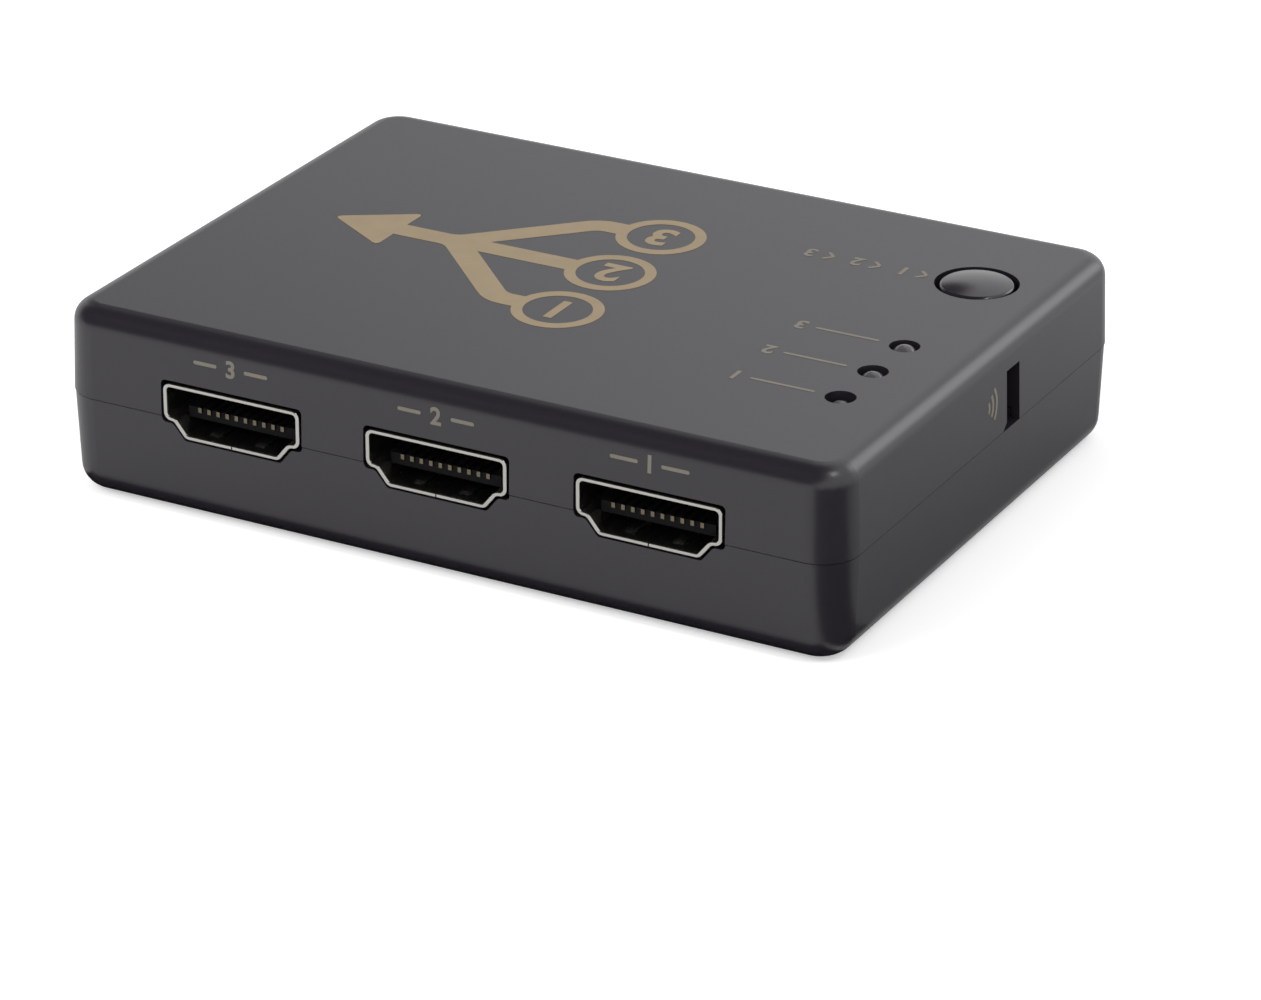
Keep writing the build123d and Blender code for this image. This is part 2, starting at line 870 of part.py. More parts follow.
ir_lead_points = [((ir_back_x + ir_face_x) / 2, ir_y + place) for place in spread(3, ir_lead_pitch)]
with BuildPart() as ir_receiver_leads:
    with BuildSketch(board_plane.offset(lead_low)):
        with Locations(*ir_lead_points):
            Rectangle(ir_lead_side, ir_lead_side)
    extrude(amount=ir_base - board_top - lead_low)
finish(ir_receiver_leads, "ir_receiver_leads")

# Board, with a hole for each screw, leg and lead that passes through it
leg_points = [
    (port.x + across, port.side * (case_width / 2 - depth))
    for port in ports
    for across, depth in leg_places(port.form)
]
terminal_points = [
    (button_x + side * (switch_side / 2 + terminal_run + terminal_thickness / 2), button_y + place)
    for side in (-1, 1)
    for place in spread(2, terminal_spacing)
]
with BuildPart() as circuit_board:
    with BuildSketch(Plane.XY.offset(board_underside)):
        RectangleRounded(board_length, board_width, board_corner_radius)
        with Locations(*screw_points):
            Circle(screw_radius + screw_clearance, mode=Mode.SUBTRACT)
        with Locations(*leg_points):
            Rectangle(
                socket_sheet + 2 * board_hole_clearance,
                leg_width + 2 * board_hole_clearance,
                mode=Mode.SUBTRACT,
            )
        with Locations(*terminal_points):
            Rectangle(
                terminal_thickness + 2 * board_hole_clearance,
                terminal_width + 2 * board_hole_clearance,
                mode=Mode.SUBTRACT,
            )
        with Locations(*sum(led_lead_points, [])):
            Circle(led_lead_side / math.sqrt(2) + board_hole_clearance, mode=Mode.SUBTRACT)
        with Locations(*ir_lead_points):
            Circle(ir_lead_side / math.sqrt(2) + board_hole_clearance, mode=Mode.SUBTRACT)
    extrude(amount=board_thickness)
finish(circuit_board, "circuit_board")

# Switching chip, with leads on all four sides
chip_point = board_point(switch_chip_place_shares)
chip_size = (switch_chip_side, switch_chip_side, switch_chip_height)
finish(build_package(chip_point, chip_size, package_lift), "switch_chip")
chip_lead_outline = lead_outline(
    package_lead_run, package_lift + switch_chip_height / 2, 0, package_lead_foot, package_lead_thickness
)
chip_lead_planes = [
    plane
    for angle in (0, 90, 180, 270)
    for plane in lead_planes(
        chip_point, switch_chip_side / 2, spread(switch_chip_lead_count, switch_chip_lead_pitch), angle
    )
]
finish(build_leads(chip_lead_planes, chip_lead_outline, switch_chip_lead_width), "switch_chip_leads")

# Small controller, with leads along its two long sides
controller_point = board_point(controller_place_shares)
controller_size = (controller_length, controller_width, controller_height)
finish(build_package(controller_point, controller_size, package_lift), "controller_chip")
controller_lead_outline = lead_outline(
    package_lead_run, package_lift + controller_height / 2, 0, package_lead_foot, package_lead_thickness
)
controller_lead_planes = [
    plane
    for angle in (90, 270)
    for plane in lead_planes(
        controller_point, controller_width / 2, spread(controller_lead_count, controller_lead_pitch), angle
    )
]
finish(
    build_leads(controller_lead_planes, controller_lead_outline, controller_lead_width),
    "controller_chip_leads",
)

# Voltage regulator, with three leads in front and a wide tab behind
regulator_point = board_point(regulator_place_shares)
regulator_size = (regulator_length, regulator_width, regulator_height)
finish(build_package(regulator_point, regulator_size, package_lift), "voltage_regulator")
regulator_lead_outline = lead_outline(
    package_lead_run, package_lift + regulator_height / 2, 0, package_lead_foot, regulator_lead_thickness
)
regulator_lead_places = spread(regulator_lead_count, regulator_lead_pitch)
regulator_lead_planes = lead_planes(regulator_point, regulator_width / 2, regulator_lead_places, 270)
regulator_tab_planes = lead_planes(regulator_point, regulator_width / 2, [0], 90)
regulator_front_leads = build_leads(regulator_lead_planes, regulator_lead_outline, regulator_lead_width)
regulator_tab = build_leads(regulator_tab_planes, regulator_lead_outline, regulator_tab_width)
with BuildPart() as voltage_regulator_leads:
    add(regulator_front_leads.part)
    add(regulator_tab.part)
finish(voltage_regulator_leads, "voltage_regulator_leads")

# Crystal in its flat can
with BuildPart() as crystal:
    with BuildSketch(Plane(board_point(crystal_place_shares))):
        SlotOverall(crystal_length, crystal_width)
    extrude(amount=crystal_rim_height)
    with BuildSketch(Plane(board_point(crystal_place_shares))):
        SlotOverall(crystal_length - 2 * crystal_rim, crystal_width - 2 * crystal_rim)
    extrude(amount=crystal_height)
    fillet(crystal.edges().group_by(Axis.Z)[-1], crystal_rim)
finish(crystal, "crystal")

# Electrolytic capacitor: a can on a square base with two cut corners
with BuildPart() as filter_capacitor:
    with BuildSketch(Plane(board_point(can_place_shares))) as can_base:
        Rectangle(can_base_side, can_base_side)
        chamfer(can_base.vertices().group_by(Axis.X)[-1], can_base_chamfer)
    extrude(amount=can_base_height)
    with BuildSketch(Plane(board_point(can_place_shares)).offset(can_base_height)):
        Circle(can_radius)
    extrude(amount=can_height - can_base_height)
    fillet(filter_capacitor.edges().group_by(Axis.Z)[-1], can_edge_rounding)
finish(filter_capacitor, "filter_capacitor")

# Rows of small parts
ceramic_places = [
    (chip_point.X + place, share * board_width / 2)
    for share in ceramic_row_shares
    for place in spread(ceramic_count, ceramic_spacing)
]
ceramic_size = (chip_part_width, chip_part_length, ceramic_height)
finish(build_blocks(ceramic_places, ceramic_size), "ceramic_capacitors")

resistor_centre = board_point(resistor_place_shares)
resistor_places = [
    (resistor_centre.X + across, resistor_centre.Y + along)
    for across in spread(resistor_column_count, resistor_spacing)
    for along in spread(resistor_row_count, resistor_spacing)
]
resistor_size = (chip_part_length, chip_part_width, resistor_height)
finish(build_blocks(resistor_places, resistor_size), "resistors")

protection_reach = case_width / 2 - video_depth - contact_drop - contact_foot - protection_gap
protection_places = [
    (port.x + across, port.side * protection_reach)
    for port in ports
    if port.form is video_form
    for across in spread(2, protection_spacing)
]
protection_size = (protection_length, protection_width, protection_height)
finish(build_blocks(protection_places, protection_size), "protection_arrays")
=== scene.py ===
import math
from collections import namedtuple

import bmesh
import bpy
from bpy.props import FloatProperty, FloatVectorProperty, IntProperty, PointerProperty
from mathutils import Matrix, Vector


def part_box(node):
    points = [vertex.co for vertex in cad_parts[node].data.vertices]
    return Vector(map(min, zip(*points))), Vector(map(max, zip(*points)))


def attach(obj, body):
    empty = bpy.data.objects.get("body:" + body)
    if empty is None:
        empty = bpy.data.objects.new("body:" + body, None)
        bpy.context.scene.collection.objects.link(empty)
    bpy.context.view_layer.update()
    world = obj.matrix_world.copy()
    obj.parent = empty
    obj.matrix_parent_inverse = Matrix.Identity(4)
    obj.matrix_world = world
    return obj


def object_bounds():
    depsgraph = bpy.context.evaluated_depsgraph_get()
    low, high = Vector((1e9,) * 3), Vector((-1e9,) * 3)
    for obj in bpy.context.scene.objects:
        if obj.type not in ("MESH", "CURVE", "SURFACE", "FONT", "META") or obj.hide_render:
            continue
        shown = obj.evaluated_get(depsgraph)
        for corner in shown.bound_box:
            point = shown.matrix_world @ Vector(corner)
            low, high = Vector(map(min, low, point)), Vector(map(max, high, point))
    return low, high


bl_info = {
    "name": "Video Switch Box",
    "version": (1, 0, 0),
    "blender": (4, 5, 0),
    "location": "View3D > Sidebar > Switch Box",
    "description": "Finishes a video switch box: plastics, plated sheet, printed marks and a studio",
    "category": "Object",
}

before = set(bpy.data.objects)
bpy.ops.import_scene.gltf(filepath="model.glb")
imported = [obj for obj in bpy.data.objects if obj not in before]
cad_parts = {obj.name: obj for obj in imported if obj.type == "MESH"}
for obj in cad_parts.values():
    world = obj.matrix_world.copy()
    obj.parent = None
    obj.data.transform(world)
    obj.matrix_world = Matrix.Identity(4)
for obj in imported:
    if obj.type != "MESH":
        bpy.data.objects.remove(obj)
CAD_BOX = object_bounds()

MM = 0.001
CASE_BODY = "case"
INPUTS = ("input_1", "input_2", "input_3")
PORTS = (*INPUTS, "output", "power_port")
LAMPS = ("led_1", "led_2", "led_3")
BROAD_INK = "pad_printed_ink"
# The thin marks take the broad ink painted darker: painted shade, not a second ink.
PAINTED_SHADE_INK = "pad_printed_ink_with_painted_shade"

UP = Vector((0, 0, 1))
RIGHT = Vector((1, 0, 0))
BACK = Vector((0, 1, 0))


def linear(hex_colour):
    """An sRGB hex colour as the linear colour, with alpha, that a shader takes."""
    shares = [int(hex_colour[place:place + 2], 16) / 255 for place in (0, 2, 4)]
    return [s / 12.92 if s <= 0.04045 else ((s + 0.055) / 1.055) ** 2.4 for s in shares] + [1.0]


def colour_setting(name, description, hex_colour):
    """A colour property with its default written as sRGB hex."""
    colour = linear(hex_colour)
    return FloatVectorProperty(
        name=name, description=description, default=colour, subtype="COLOR", size=4, min=0, max=1
    )


def length_setting(name, description, millimetres):
    """A length property with its default written in millimetres."""
    length = millimetres * MM
    return FloatProperty(
        name=name, description=description, default=length, min=0, precision=5, unit="LENGTH"
    )


def angle_setting(name, description, degrees):
    """An angle property with its default written in degrees."""
    angle = math.radians(degrees)
    return FloatProperty(name=name, description=description, default=angle, unit="ROTATION")


def number_setting(name, description, number):
    """A plain number property."""
    return FloatProperty(name=name, description=description, default=number)


def direction_setting(name, description, direction):
    """A direction property, as a vector of any length."""
    return FloatVectorProperty(name=name, description=description, default=direction)


class PlasticSettings(bpy.types.PropertyGroup):
    case_colour: colour_setting("Case", "Moulded case and button", "221f25")
    socket_colour: colour_setting("Socket insert", "Black insert in each socket", "0e0e0f")
    epoxy_colour: colour_setting("Chip epoxy", "Moulded chip bodies", "1b1b1d")
    ceramic_colour: colour_setting("Ceramic", "Fired bodies of the small capacitors", "9a7c5b")
    spark_grain: length_setting("Spark grain", "Width of the mould's spark-eroded grain", 0.22)
    flow_width: length_setting("Flow marks", "Width of the soft patches that the melt leaves", 9)


class MetalSettings(bpy.types.PropertyGroup):
    nickel_colour: colour_setting("Nickel", "Plating on the socket shells", "c1bfba")
    gold_colour: colour_setting("Gold", "Plating on the contacts", "746b5b")
    tin_colour: colour_setting("Tin", "Tinned leads and legs", "c4c5c4")
    zinc_colour: colour_setting("Zinc", "Plating on the case screws", "9a9ba0")
    steel_colour: colour_setting("Steel", "Plate and dome of the switch", "b9b9b8")
    can_colour: colour_setting("Can", "Drawn aluminium cans", "cfd0d2")
    rolling_width: length_setting("Rolling lines", "Spacing of the lines that rolling leaves", 0.08)


class MarkSettings(bpy.types.PropertyGroup):
    ink_colour: colour_setting("Ink", "Broad pad-printed marks", "938164")
    # The same ink as the broad marks, painted darker as shade.
    fine_ink_colour: colour_setting("Fine ink", "Thin marks, darker than the broad ones", "767065")
    ink_thickness: length_setting("Ink thickness", "How far the print stands on the plastic", 0.025)
    port_figure: length_setting("Port figure", "Height of the figure over each socket", 1.75)
    lamp_figure: length_setting("Lamp figure", "Height of the figure beside each lamp", 1.9)
    route_figure: length_setting("Route figure", "Height of the figure in each large ring", 4.2)
    route_stroke: length_setting("Route stroke", "Width of the large mark's strokes", 2.6)
    thin_stroke: length_setting("Thin stroke", "Width of the small marks' strokes", 0.36)
    figure_weight: number_setting("Figure weight", "How far a figure's outline is spread", 0.03)


class LampSettings(bpy.types.PropertyGroup):
    lens_colour: colour_setting("Lamp", "Diffusing epoxy of the three lamps", "505053")
    receiver_colour: colour_setting("Receiver", "Dark epoxy of the infrared receiver", "120d10")


class BoardSettings(bpy.types.PropertyGroup):
    mask_colour: colour_setting("Solder mask", "Lacquer over the board", "0b2a1a")
    track_colour: colour_setting("Tracks", "Lacquer where copper runs under it", "113a24")
    track_pitch: length_setting("Track pitch", "Spacing of the copper tracks", 0.6)


class StageSettings(bpy.types.PropertyGroup):
    azimuth: angle_setting("Azimuth", "How far the camera stands to the right of the front", 28.453)
    elevation: angle_setting("Elevation", "How far the camera looks down", 24.882)
    distance: length_setting("Distance", "From the camera to its target", 500.5)
    target_right: length_setting("Target right", "The target's place across the picture", 3.379)
    target_down: length_setting("Target down", "The target's place down the picture", 12.087)
    target_height: length_setting("Target height", "The target's height over the floor", 9)
    focal_pixels: number_setting("Focal length", "In pixels of the picture", 5253)
    picture_width: IntProperty(name="Picture width", description="In pixels", default=1261)
    floor_colour: colour_setting("Floor", "Pale table top", "e8e8e8")
    floor_glow: number_setting("Floor glow", "Light of the floor that only the camera sees", 0.42)
    # Cards that only gloss shows: painted dark and grey reflections of the table, and a painted
    # contact shadow at the foot.
    dark_card: colour_setting("Dark card", "Cards that gloss shows dark", "0a0a0a")
    grey_near: colour_setting("Grey card", "Near edge of the card at the right", "a0a0a0")
    grey_far: colour_setting("Grey card, far", "Far edge of the card at the right", "cccccc")
    fill_light: number_setting("Fill", "Strength of the room's plain light", 0.8)
    wall_light: number_setting("Walls", "How bright gloss shows the pale walls", 1.05)
    dark_light: number_setting("Dark light", "How bright gloss shows the unlit parts", 0.02)
    dark_side: direction_setting("Dark side", "Where the room is unlit", (-0.43, -0.45, 0.78))
    dark_corner: direction_setting("Dark corner", "Where a corner is unlit", (-0.56, 0.62, 0.55))


class SwitchBoxSettings(bpy.types.PropertyGroup):
    plastic: PointerProperty(type=PlasticSettings, name="Plastics")
    metal: PointerProperty(type=MetalSettings, name="Metals")
    marks: PointerProperty(type=MarkSettings, name="Printed marks")
    lamps: PointerProperty(type=LampSettings, name="Lamps")
    board: PointerProperty(type=BoardSettings, name="Board")
    stage: PointerProperty(type=StageSettings, name="Studio")


def settings():
    """The add-on's settings in this scene."""
    return bpy.context.scene.switch_box


# Materials

Finish = namedtuple("Finish", "material tree shader place")

ABS_INDEX = 1.57
RESIN_INDEX = 1.5
EPOXY_INDEX = 1.54
SPARK_DEPTH = 0.0016 * MM
FILLER_DEPTH = 0.004 * MM
ROLLING_DEPTH = 0.001 * MM
INK_DEPTH = 0.003 * MM
TRACK_DEPTH = 0.02 * MM


def add_node(tree, kind, inputs, **options):
    """Adds a node with its options; an input given as a socket is linked, and any other is set."""
    node = tree.nodes.new(kind)
    for name, value in options.items():
        setattr(node, name, value)
    for name, value in inputs.items():
        if isinstance(value, bpy.types.NodeSocket):
            tree.links.new(value, node.inputs[name])
        else:
            node.inputs[name].default_value = value
    return node


def new_finish(name, **constants):
    """A material with one shader, its constant inputs set, and the object's own coordinates."""
    material = bpy.data.materials.new(name)
    material.use_nodes = True
    tree = material.node_tree
    tree.nodes.clear()
    inputs = {key.replace("_", " "): value for key, value in constants.items()}
    shader = add_node(tree, "ShaderNodeBsdfPrincipled", inputs)
    add_node(tree, "ShaderNodeOutputMaterial", {"Surface": shader.outputs["BSDF"]})
    place = add_node(tree, "ShaderNodeTexCoord", {}).outputs["Object"]
    return Finish(material, tree, shader, place)


def noise(finish, width, detail=2.0, stretch=(1, 1, 1)):
    """Noise whose features are about a given width, in metres, stretched along the axes."""
    place = finish.place
    if stretch != (1, 1, 1):
        inputs = {"Vector": place, "Scale": [1 / share for share in stretch]}
        place = add_node(finish.tree, "ShaderNodeMapping", inputs).outputs["Vector"]
    inputs = {"Vector": place, "Scale": 1 / width, "Detail": detail}
    return add_node(finish.tree, "ShaderNodeTexNoise", inputs).outputs["Fac"]


def ranged(finish, value, low, high):
    """A value from 0 to 1 spread from low to high."""
    inputs = {"Value": value, "To Min": low, "To Max": high}
    return add_node(finish.tree, "ShaderNodeMapRange", inputs).outputs["Result"]


def tint(finish, value, low, high):
    """A colour that runs from low to high as a value goes from 0 to 1."""
    mix = add_node(finish.tree, "ShaderNodeMix", {"Factor": value}, data_type="RGBA")
    mix.inputs["A"].default_value = low
    mix.inputs["B"].default_value = high
    return next(socket for socket in mix.outputs if socket.type == "RGBA")


def shade(colour, share):
    """A colour made darker or lighter by a share."""
    return [min(1.0, channel * share) for channel in colour[:3]] + [1.0]


def set_input(finish, name, socket):
    """Links a socket to an input of the finish's shader."""
    finish.tree.links.new(socket, finish.shader.inputs[name])


def relief(finish, height, depth):
    """Bumps of a real depth, in metres, from a height of 0 to 1."""
    inputs = {"Height": height, "Distance": depth, "Strength": 1.0}
    bump = add_node(finish.tree, "ShaderNodeBump", inputs)
    set_input(finish, "Normal", bump.outputs["Normal"])


def moulded_abs(name, colour, rough_low, rough_high):
    """Injection-moulded ABS: a satin skin with the mould's fine spark grain and soft flow marks."""
    plastic = settings().plastic
    finish = new_finish(name, IOR=ABS_INDEX)
    flow = noise(finish, plastic.flow_width, 1.0)
    grain = noise(finish, plastic.spark_grain, 3.0)
    set_input(finish, "Base Color", tint(finish, flow, shade(colour, 0.96), shade(colour, 1.04)))
    set_input(finish, "Roughness", ranged(finish, grain, rough_low, rough_high))
    relief(finish, grain, SPARK_DEPTH)
    return finish.material


def black_resin(name, colour, grain_width, rough_low, rough_high):
    """Glass-filled resin or chip epoxy: matt, with a coarse filler grain."""
    finish = new_finish(name, IOR=RESIN_INDEX, Specular_IOR_Level=0.2)
    grain = noise(finish, grain_width, 4.0)
    set_input(finish, "Base Color", tint(finish, grain, shade(colour, 0.8), shade(colour, 1.25)))
    set_input(finish, "Roughness", ranged(finish, grain, rough_low, rough_high))
    relief(finish, grain, FILLER_DEPTH)
    return finish.material


def rolled_metal(name, colour, rough_low, rough_high, along=(1, 8, 1)):
    """Rolled and plated sheet: bright, with faint lines along the way it was rolled."""
    finish = new_finish(name, Metallic=1.0)
    lines = noise(finish, settings().metal.rolling_width, 2.0, along)
    cloud = noise(finish, 1.5 * MM, 2.0)
    set_input(finish, "Base Color", tint(finish, cloud, shade(colour, 0.92), colour))
    set_input(finish, "Roughness", ranged(finish, lines, rough_low, rough_high))
    relief(finish, lines, ROLLING_DEPTH)
    return finish.material


def pad_print(name, colour):
    """Pad-printed ink: a thin matt film, thinner in specks where the pad left the plastic."""
    finish = new_finish(name, IOR=RESIN_INDEX)
    speck = noise(finish, 0.16 * MM, 3.0)
    cloud = noise(finish, 2.4 * MM, 1.0)
    inputs = {0: speck, 1: cloud}
    worn = add_node(finish.tree, "ShaderNodeMath", inputs, operation="MULTIPLY")
    patch = ranged(finish, worn.outputs["Value"], 0.0, 1.6)
    set_input(finish, "Base Color", tint(finish, patch, shade(colour, 0.86), shade(colour, 1.08)))
    set_input(finish, "Roughness", ranged(finish, speck, 0.42, 0.58))
    relief(finish, speck, INK_DEPTH)
    return finish.material


def cast_epoxy(name, colour, transmission, rough):
    """Cast epoxy of a lamp or receiver: glossy, slightly cloudy inside."""
    finish = new_finish(
        name, IOR=EPOXY_INDEX, Transmission_Weight=transmission, Roughness=rough
    )
    cloud = noise(finish, 0.7 * MM, 2.0)
    set_input(finish, "Base Color", tint(finish, cloud, shade(colour, 0.9), shade(colour, 1.05)))
    relief(finish, cloud, FILLER_DEPTH)
    return finish.material


def solder_mask(name, mask, track, pitch):
    """Fibreglass board under lacquer: tracks show as paler runs, standing a little proud."""
    block_width = 8 * pitch
    track_share = 1 / 12
    finish = new_finish(name, IOR=RESIN_INDEX, Coat_Weight=0.3, Coat_Roughness=0.15)
    inputs = {"Vector": finish.place, "Scale": 1 / block_width, "Randomness": 0.85}
    cells = add_node(finish.tree, "ShaderNodeTexVoronoi", inputs, feature="DISTANCE_TO_EDGE")
    inputs = {0: cells.outputs["Distance"], 1: track_share}
    runs = add_node(finish.tree, "ShaderNodeMath", inputs, operation="LESS_THAN").outputs["Value"]
    weave = noise(finish, 0.35 * MM, 1.0)
    set_input(finish, "Base Color", tint(finish, runs, mask, track))
    set_input(finish, "Roughness", ranged(finish, weave, 0.28, 0.42))
    relief(finish, runs, TRACK_DEPTH)
    return finish.material


def assign(material, *nodes):
    """Gives nodes one material on every slot."""
    for node in nodes:
        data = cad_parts[node].data
        data.materials.clear()
        data.materials.append(material)
        for face in data.polygons:
            face.material_index = 0


# Modelling by hand

WELD = 0.0001 * MM  # vertices nearer than this become one
SINK = 0.005 * MM  # how deep a mark sits in the plastic
BEND_STEP = 9  # degrees of a bend in each step
END_ROUNDING = 0.45  # of a stroke's width
TIP_ROUNDING = 0.1  # of an arrow head's length
RING_STEPS = 48
WAVE_STEPS = 12
AWAY = 1.0  # metres off, from where a ray looks for the case


def start_clean():
    """Leaves edit mode and deselects everything, so that an operator meets only its own piece."""
    if bpy.context.object and bpy.context.object.mode != "OBJECT":
        bpy.ops.object.mode_set(mode="OBJECT")
    bpy.ops.object.select_all(action="DESELECT")


def select_only(piece):
    """Makes one piece the selected and active one."""
    start_clean()
    piece.select_set(True)
    bpy.context.view_layer.objects.active = piece


def pick(piece, wanted):
    """In edit mode, selects only the vertices that a test accepts."""
    bpy.ops.mesh.select_all(action="DESELECT")
    bpy.ops.mesh.select_mode(type="VERT")
    mesh = bmesh.from_edit_mesh(piece.data)
    for vertex in mesh.verts:
        vertex.select_set(wanted(vertex))
    mesh.select_flush_mode()
    bmesh.update_edit_mesh(piece.data)


def rename(piece, name):
    """Names an object and its mesh."""
    piece.name = name
    piece.data.name = name
    return piece


def open_edit(name):
    """Names the new primitive and opens it in edit mode."""
    piece = rename(bpy.context.object, name)
    bpy.ops.object.mode_set(mode="EDIT")
    return piece


def film(piece):
    """Makes the flat mesh in edit mode a closed film, as thick as the ink, and leaves edit mode."""
    thickness = settings().marks.ink_thickness
    bpy.ops.mesh.select_all(action="SELECT")
    bpy.ops.mesh.remove_doubles(threshold=WELD)
    bpy.ops.mesh.normals_make_consistent(inside=False)
    bpy.ops.mesh.extrude_region_move(TRANSFORM_OT_translate={"value": (0, 0, thickness)})
    bpy.ops.mesh.select_all(action="SELECT")
    bpy.ops.mesh.normals_make_consistent(inside=False)
    bpy.ops.object.mode_set(mode="OBJECT")
    return piece


def figure(name, text, height):
    """A figure as a film of ink, its middle at the origin."""
    start_clean()
    bpy.ops.object.text_add()
    written = bpy.context.object.data
    written.body = text
    written.resolution_u = 4
    written.offset = settings().marks.figure_weight
    bpy.ops.object.convert(target="MESH")
    bpy.ops.object.shade_flat()
    piece = rename(bpy.context.object, name)
    low = Vector(min(v.co[axis] for v in piece.data.vertices) for axis in range(3))
    high = Vector(max(v.co[axis] for v in piece.data.vertices) for axis in range(3))
    share = height / (high.y - low.y)
    piece.matrix_world = Matrix.Scale(share, 4) @ Matrix.Translation(-(low + high) / 2)
    bpy.ops.object.transform_apply(location=True, rotation=True, scale=True)
    bpy.ops.object.mode_set(mode="EDIT")
    return film(piece)


def stroke(name, start, heading, width, moves, rounded=True):
    """A stroke of ink laid out as by hand: its end is drawn along runs and spun round bends.

    Each move is ("run", length) or ("bend", radius, degrees), where a positive turn is to the left.
    The spin operator turns clockwise about its axis, so the axis points down for a left turn.
    """
    start_clean()
    bpy.ops.mesh.primitive_plane_add(size=width)
    piece = open_edit(name)
    pick(piece, lambda v: v.co.x < 0)
    bpy.ops.mesh.delete(type="VERT")
    point = Vector((width / 2, 0, 0))
    angle = 0.0
    pick(piece, lambda v: True)
    for kind, *sizes in moves:
        along = Vector((math.cos(angle), math.sin(angle), 0))
        if kind == "run":
            bpy.ops.mesh.extrude_region_move(TRANSFORM_OT_translate={"value": along * sizes[0]})
            point += along * sizes[0]
        else:
            radius, degrees = sizes
            turn = math.radians(degrees)
            side = math.copysign(1, turn)
            centre = point + Vector((-along.y, along.x, 0)) * radius * side
            steps = max(2, round(abs(degrees) / BEND_STEP))
            bpy.ops.mesh.spin(steps=steps, angle=abs(turn), center=centre, axis=(0, 0, -side))
            point = centre + Matrix.Rotation(turn, 3, "Z") @ (point - centre)
            angle += turn
    if rounded:
        pick(piece, lambda v: len(v.link_edges) == 2)
        bpy.ops.mesh.bevel(offset=width * END_ROUNDING, segments=5, affect="VERTICES")
    place_flat(piece, start, heading, Vector((width / 2, 0, 0)))
    return film(piece)


def place_flat(piece, start, heading, origin):
    """In edit mode, turns a flat mesh about its origin to a heading and moves it to its start."""
    bpy.ops.mesh.select_all(action="SELECT")
    mesh = bmesh.from_edit_mesh(piece.data)
    turn = Matrix.Rotation(math.radians(heading), 4, "Z")
    move = Matrix.Translation((start[0], start[1], 0)) @ turn @ Matrix.Translation(-origin)
    bmesh.ops.transform(mesh, matrix=move, verts=mesh.verts)
    bmesh.update_edit_mesh(piece.data)


def arc(name, centre, radius, width, start, sweep, steps):
    """An arc of ink: a short radial edge spun about a centre through a sweep in degrees."""
    start_clean()
    bpy.ops.mesh.primitive_plane_add(size=width)
    piece = open_edit(name)
    pick(piece, lambda v: v.co.y < 0)
    bpy.ops.mesh.delete(type="VERT")
    pick(piece, lambda v: True)
    bpy.ops.transform.translate(value=(radius, -width / 2, 0))
    bpy.ops.mesh.spin(steps=steps, angle=math.radians(sweep), center=(0, 0, 0), axis=(0, 0, -1))
    place_flat(piece, centre, start, Vector((0, 0, 0)))
    return film(piece)


def arrow_head(name, tip, heading, length, spread):
    """An arrow head of ink with softened corners, its tip at a point."""
    start_clean()
    bpy.ops.mesh.primitive_circle_add(vertices=3, radius=length, fill_type="NGON")
    piece = open_edit(name)
    mesh = bmesh.from_edit_mesh(piece.data)
    corners = [(0, 0, 0), (-length, spread / 2, 0), (-length, -spread / 2, 0)]
    for vertex, corner in zip(mesh.verts, corners):
        vertex.co = corner
    bmesh.update_edit_mesh(piece.data)
    pick(piece, lambda v: True)
    bpy.ops.mesh.bevel(offset=length * TIP_ROUNDING, segments=3, affect="VERTICES")
    place_flat(piece, tip, heading, Vector((0, 0, 0)))
    return film(piece)


def joined(name, pieces):
    """One closed film from several, melted together where they meet."""
    piece = pieces[0]
    for other in pieces[1:]:
        select_only(piece)
        bpy.ops.object.modifier_add(type="BOOLEAN")
        melt = piece.modifiers[-1]
        melt.operation = "UNION"
        melt.solver = "EXACT"
        melt.object = other
        bpy.ops.object.modifier_apply(modifier=melt.name)
        bpy.data.objects.remove(other)
    return rename(piece, name)


def move_flat(piece, spot):
    """Moves a finished film across its own plane."""
    piece.data.transform(Matrix.Translation((spot[0], spot[1], 0)))


def print_on_case(mark, ink, point, towards, reading_up):
    """Sinks a mark a hair into the upper case half, where a ray from a point meets it.

    The mark's own up turns along reading_up. It gets its ink and its body.
    """
    hit, place, normal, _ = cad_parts["top_cover"].ray_cast(point, towards)
    if not hit:
        raise RuntimeError(f"no case surface for {mark.name} near {tuple(point)}")
    side = reading_up.cross(normal).normalized()
    turn = Matrix((side, normal.cross(side), normal)).transposed().to_4x4()
    select_only(mark)
    mark.matrix_world = Matrix.Translation(place - normal * SINK) @ turn
    bpy.ops.object.transform_apply(location=True, rotation=True, scale=True)
    mark.data.materials.clear()
    mark.data.materials.append(bpy.data.materials[ink])
    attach(mark, CASE_BODY)


def middle(node):
    """The middle of a CAD node's box."""
    low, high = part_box(node)
    return (low + high) / 2


# Operators, one for each group of like pieces


class SWITCHBOX_OT_case(bpy.types.Operator):
    """Gives the two case halves and the button their moulded plastic"""

    bl_idname = "switchbox.case"
    bl_label = "Case and Button"

    def execute(self, context):
        colour = settings().plastic.case_colour
        assign(moulded_abs("satin_moulded_abs", colour, 0.28, 0.36), "top_cover", "bottom_cover")
        assign(moulded_abs("polished_moulded_abs", colour, 0.14, 0.2), "select_button")
        return {"FINISHED"}


